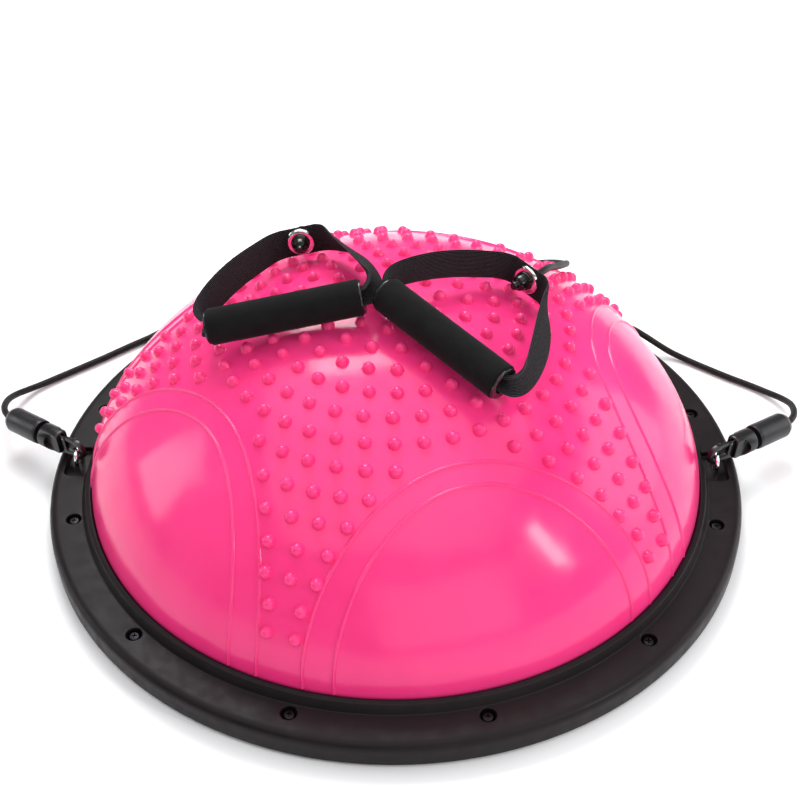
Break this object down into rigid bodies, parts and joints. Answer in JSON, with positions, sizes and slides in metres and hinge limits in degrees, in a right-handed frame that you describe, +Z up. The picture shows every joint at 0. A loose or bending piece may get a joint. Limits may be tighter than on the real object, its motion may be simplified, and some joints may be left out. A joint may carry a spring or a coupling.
{
  "type": "balance dome trainer",
  "caption": "Inflated half dome with massage nubs clamped to a round base, with two rubber resistance cords on snap hooks and foam hand grips.",
  "frame": {"origin": "on the floor under the middle of the round base", "axes": "+Z up through the top of the dome, +X towards the right-hand cord eye, -Y towards the user side where the grips lie"},
  "size_m": [0.7118, 0.5841, 0.2287],
  "materials": {
    "base_plastic": "moulded black polypropylene, fine texture",
    "dome_pvc": "glossy soft pink PVC",
    "plug_plastic": "moulded off-white plastic",
    "screw_steel": "blackened steel",
    "eye_chrome": "bright chrome plate",
    "nut_steel": "zinc plated",
    "hook_plastic": "moulded black acetal",
    "sleeve_plastic": "moulded dark grey plastic",
    "cord_rubber": "black latex rubber",
    "stopper_plastic": "glossy black plastic",
    "webbing_nylon": "ribbed black nylon webbing",
    "grommet_chrome": "bright plated steel",
    "core_plastic": "glossy black plastic tube",
    "grip_foam": "black closed-cell foam"
  },
  "bodies": {
    "base": {"base_plate": "base_plastic", "clamp_ring": "base_plastic", "dome_bladder": "dome_pvc", "clamp_screw_01": "screw_steel", "clamp_screw_02": "screw_steel", "clamp_screw_03": "screw_steel", "clamp_screw_04": "screw_steel", "clamp_screw_05": "screw_steel", "clamp_screw_06": "screw_steel", "clamp_screw_07": "screw_steel", "clamp_screw_08": "screw_steel", "clamp_screw_09": "screw_steel", "clamp_screw_10": "screw_steel", "clamp_screw_11": "screw_steel", "clamp_screw_12": "screw_steel", "cord_eye_left": "eye_chrome", "eye_nut_left_front": "nut_steel", "eye_nut_left_back": "nut_steel", "cord_left": "cord_rubber", "cord_eye_right": "eye_chrome", "eye_nut_right_front": "nut_steel", "eye_nut_right_back": "nut_steel", "cord_right": "cord_rubber"},
    "valve": {"valve_plug": "plug_plastic"},
    "tether_left": {"hook_left": "hook_plastic", "gate_pin_left": "nut_steel"},
    "gate_left": {"hook_gate_left": "hook_plastic"},
    "sleeve_left": {"cord_sleeve_left": "sleeve_plastic"},
    "handle_left": {"webbing_left": "webbing_nylon", "grommet_left": "grommet_chrome", "cord_stopper_left": "stopper_plastic"},
    "grip_left": {"core_tube_left": "core_plastic", "foam_grip_left": "grip_foam"},
    "tether_right": {"hook_right": "hook_plastic", "gate_pin_right": "nut_steel"},
    "gate_right": {"hook_gate_right": "hook_plastic"},
    "sleeve_right": {"cord_sleeve_right": "sleeve_plastic"},
    "handle_right": {"webbing_right": "webbing_nylon", "grommet_right": "grommet_chrome", "cord_stopper_right": "stopper_plastic"},
    "grip_right": {"core_tube_right": "core_plastic", "foam_grip_right": "grip_foam"}
  },
  "joints": [
    {"name": "valve_pull", "type": "slide", "parent": "base", "child": "valve", "axis": [0, 0, -1], "range_m": [0, 0.012]},
    {"name": "tether_lift_left", "type": "hinge", "parent": "base", "child": "tether_left", "pos_m": [-0.27, 0, 0.036], "axis": [0, 1, 0], "range_deg": [0, 60], "deforming": ["cord_left"]},
    {"name": "gate_open_left", "type": "hinge", "parent": "tether_left", "child": "gate_left", "pos_m": [-0.28258, 0.00897, 0.04074], "axis": [0.5806, 0.8142, 0], "range_deg": [0, 25], "stiffness_Nm_per_rad": 0.02, "springref_deg": -17.19},
    {"name": "sleeve_swivel_left", "type": "hinge", "parent": "tether_left", "child": "sleeve_left", "pos_m": [-0.27, 0, 0.036], "axis": [-0.8114, 0.5786, -0.0829], "continuous": true},
    {"name": "handle_lift_left", "type": "hinge", "parent": "base", "child": "handle_left", "pos_m": [-0.07808, 0.0811, 0.19345], "axis": [-0.9777, -0.06, -0.2014], "range_deg": [0, 30], "deforming": ["cord_left"]},
    {"name": "grip_spin_left", "type": "hinge", "parent": "handle_left", "child": "grip_left", "pos_m": [-0.0812, -0.0308, 0.2022], "axis": [0.9777, 0.06, 0.2014], "continuous": true},
    {"name": "tether_lift_right", "type": "hinge", "parent": "base", "child": "tether_right", "pos_m": [0.27, 0, 0.036], "axis": [0, -1, 0], "range_deg": [0, 60], "deforming": ["cord_right"]},
    {"name": "gate_open_right", "type": "hinge", "parent": "tether_right", "child": "gate_right", "pos_m": [0.28258, 0.00897, 0.04074], "axis": [0.5806, -0.8142, 0], "range_deg": [0, 25], "stiffness_Nm_per_rad": 0.02, "springref_deg": -17.19},
    {"name": "sleeve_swivel_right", "type": "hinge", "parent": "tether_right", "child": "sleeve_right", "pos_m": [0.27, 0, 0.036], "axis": [0.8114, 0.5786, -0.0829], "continuous": true},
    {"name": "handle_lift_right", "type": "hinge", "parent": "base", "child": "handle_right", "pos_m": [0.10386, 0.0253, 0.19498], "axis": [-0.7145, 0.6784, 0.1711], "range_deg": [0, 30], "deforming": ["cord_right"]},
    {"name": "grip_spin_right", "type": "hinge", "parent": "handle_right", "child": "grip_right", "pos_m": [0.0368, -0.0646, 0.2048], "axis": [0.7145, -0.6784, -0.1711], "continuous": true}
  ]
}
